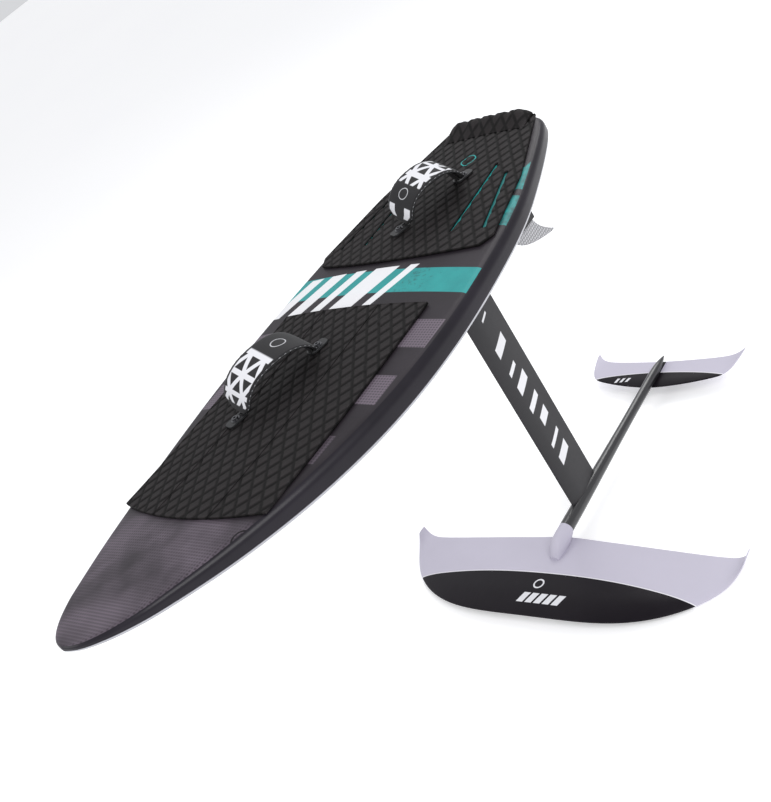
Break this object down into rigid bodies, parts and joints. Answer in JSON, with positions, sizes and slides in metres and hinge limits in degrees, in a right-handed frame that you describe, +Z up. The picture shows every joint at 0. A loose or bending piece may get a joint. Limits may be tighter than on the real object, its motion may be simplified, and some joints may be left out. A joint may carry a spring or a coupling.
{
  "type": "hydrofoil board",
  "caption": "Board with grooved deck pads, foot straps and side fins on a long mast that carries a fuselage, a wide front wing and a rear stabiliser.",
  "frame": {"origin": "middle of the underside of the whole craft's box, at the lowest point of the front wing", "axes": "+X towards the nose, +Y to port, +Z up from the wings to the deck"},
  "size_m": [1.584, 0.872, 0.9111],
  "materials": {
    "core_foam": "matte",
    "rail_paint": "gloss",
    "deck_print": "satin",
    "hull_paint": "gloss",
    "pad_foam": "matte",
    "strap_cover": "matte",
    "webbing": "matte",
    "strap_rubber": "satin",
    "steel": "satin",
    "insert_brass": "satin",
    "track_plastic": "matte",
    "fin_smoke": "gloss",
    "mast_black": "satin",
    "fuselage_black": "satin",
    "wing_paint": "satin"
  },
  "bodies": {
    "board": {"foam_core": "core_foam", "rail_band": "rail_paint", "deck_skin": "deck_print", "hull_skin": "hull_paint", "front_pad_port": "pad_foam", "front_pad_centre": "pad_foam", "front_pad_starboard": "pad_foam", "tail_pad": "pad_foam", "tail_kick": "pad_foam", "strap_inserts": "insert_brass", "front_strap_tongues": "strap_rubber", "front_strap_washers": "steel", "front_strap_screws": "steel", "rear_strap_tongues": "strap_rubber", "rear_strap_washers": "steel", "rear_strap_screws": "steel", "track_port": "track_plastic", "track_starboard": "track_plastic", "fin_box_port": "track_plastic", "fin_port": "fin_smoke", "fin_box_starboard": "track_plastic", "fin_starboard": "fin_smoke", "fin_screws": "steel"},
    "foil": {"mast_plate": "mast_black", "mast": "mast_black", "plate_washers": "steel", "plate_bolts": "steel", "track_nuts": "steel", "mast_head_bolts": "steel", "mast_foot_bolts": "steel", "fuselage": "fuselage_black", "front_wing": "wing_paint", "front_wing_bolts": "steel", "stabiliser": "wing_paint", "stabiliser_shim": "track_plastic", "stabiliser_bolts": "steel"},
    "front_strap": {"front_strap_cover": "strap_cover", "front_strap_webbing": "webbing"},
    "rear_strap": {"rear_strap_cover": "strap_cover", "rear_strap_webbing": "webbing"}
  },
  "joints": [
    {"name": "foil_slide", "type": "slide", "parent": "board", "child": "foil", "axis": [1, 0, 0], "range_m": [-0.04, 0.04]},
    {"name": "front_strap_lean", "type": "hinge", "parent": "board", "child": "front_strap", "pos_m": [0.1855, -0.031, 0.83223], "axis": [0.9511, -0.3087, 0.0027], "range_deg": [-8, 8], "stiffness_Nm_per_rad": 0.6},
    {"name": "rear_strap_lean", "type": "hinge", "parent": "board", "child": "rear_strap", "pos_m": [-0.3315, 0.0065, 0.83646], "axis": [0.9172, -0.398, -0.017], "range_deg": [-8, 8], "stiffness_Nm_per_rad": 0.6}
  ]
}
